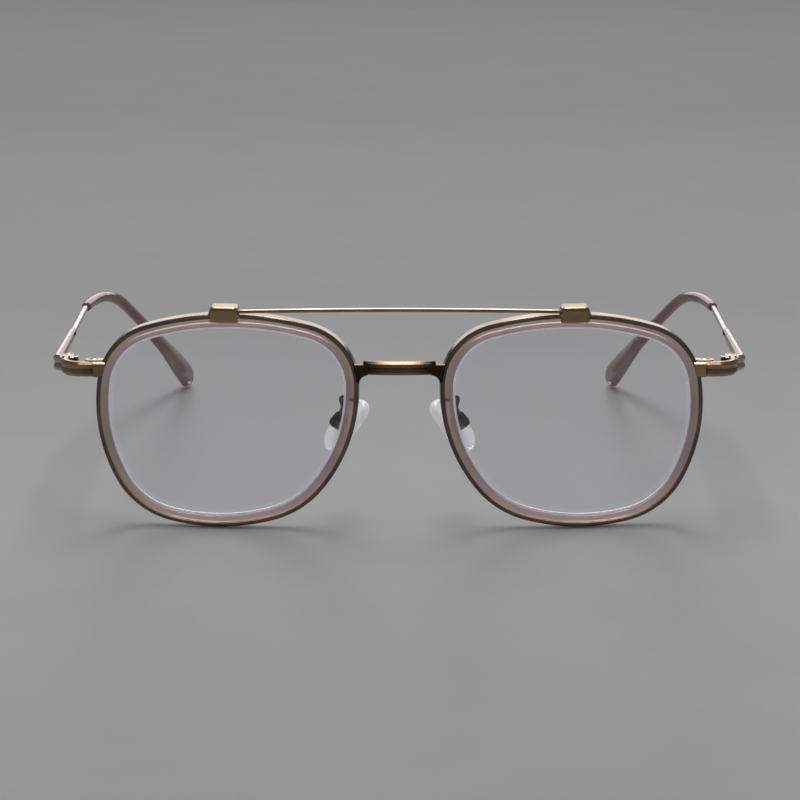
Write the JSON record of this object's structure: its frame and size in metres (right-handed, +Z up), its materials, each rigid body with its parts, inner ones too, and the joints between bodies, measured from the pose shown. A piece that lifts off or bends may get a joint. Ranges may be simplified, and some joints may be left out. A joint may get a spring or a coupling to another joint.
{
  "type": "double bridge glasses",
  "caption": "Double bridge spectacles: metal rims with translucent inner rings, clear lenses, a low bridge, a wire brow bar on blocks, folding wire temples and rocking nose pads.",
  "frame": {"origin": "on the floor, under the middle of the whole, the rims and the temple tips standing on it", "axes": "+Z up, -Y out of the front, +X to the wearer's left"},
  "size_m": [0.1464, 0.1464, 0.0479],
  "materials": {
    "rim_metal": "satin gunmetal brown",
    "ring_acetate": "polished translucent mauve acetate",
    "lens_clear": "polished, coated",
    "bridge_bronze": "antiqued, darker towards the rims",
    "bar_bronze": "polished rose bronze",
    "block_bronze": "antiqued bronze",
    "end_bronze": "antiqued bronze",
    "hinge_metal": "satin bronze",
    "screw_steel": "turned",
    "temple_metal": "satin rose bronze",
    "tip_acetate": "translucent mauve acetate",
    "pad_metal": "antiqued bronze",
    "core_clear": "clear polycarbonate",
    "pad_silicone": "clear silicone"
  },
  "bodies": {
    "front": {"bridge": "bridge_bronze", "brow_bar": "bar_bronze", "left_rim": "rim_metal", "left_inner_ring": "ring_acetate", "left_lens": "lens_clear", "left_brow_block": "block_bronze", "left_end_piece": "end_bronze", "left_upper_lock_block": "end_bronze", "left_lower_lock_block": "end_bronze", "left_lock_screw": "screw_steel", "left_front_hinge_leaf": "hinge_metal", "left_hinge_screw": "screw_steel", "left_pad_arm": "pad_metal", "left_pad_box": "pad_metal", "left_pad_screw": "screw_steel", "right_rim": "rim_metal", "right_inner_ring": "ring_acetate", "right_lens": "lens_clear", "right_brow_block": "block_bronze", "right_end_piece": "end_bronze", "right_upper_lock_block": "end_bronze", "right_lower_lock_block": "end_bronze", "right_lock_screw": "screw_steel", "right_front_hinge_leaf": "hinge_metal", "right_hinge_screw": "screw_steel", "right_pad_arm": "pad_metal", "right_pad_box": "pad_metal", "right_pad_screw": "screw_steel"},
    "left_temple_arm": {"left_temple": "temple_metal", "left_temple_tip": "tip_acetate", "left_temple_hinge_leaf": "hinge_metal"},
    "left_pad": {"left_nose_pad": "pad_silicone", "left_pad_core": "core_clear"},
    "right_temple_arm": {"right_temple": "temple_metal", "right_temple_tip": "tip_acetate", "right_temple_hinge_leaf": "hinge_metal"},
    "right_pad": {"right_nose_pad": "pad_silicone", "right_pad_core": "core_clear"}
  },
  "joints": [
    {"name": "left_temple_fold", "type": "hinge", "parent": "front", "child": "left_temple_arm", "pos_m": [0.06875, -0.05969, 0.03363], "axis": [0, 0, 1], "range_deg": [0, 83]},
    {"name": "right_temple_fold", "type": "hinge", "parent": "front", "child": "right_temple_arm", "pos_m": [-0.06875, -0.05969, 0.03363], "axis": [0, 0, -1], "range_deg": [0, 77]},
    {"name": "left_pad_rock", "type": "hinge", "parent": "front", "child": "left_pad", "pos_m": [0.01257, -0.06186, 0.02153], "axis": [-0.4059, -0.848, -0.3406], "range_deg": [-10, 10]},
    {"name": "right_pad_rock", "type": "hinge", "parent": "front", "child": "right_pad", "pos_m": [-0.01257, -0.06186, 0.02153], "axis": [0.4059, -0.848, -0.3406], "range_deg": [-10, 10]}
  ]
}
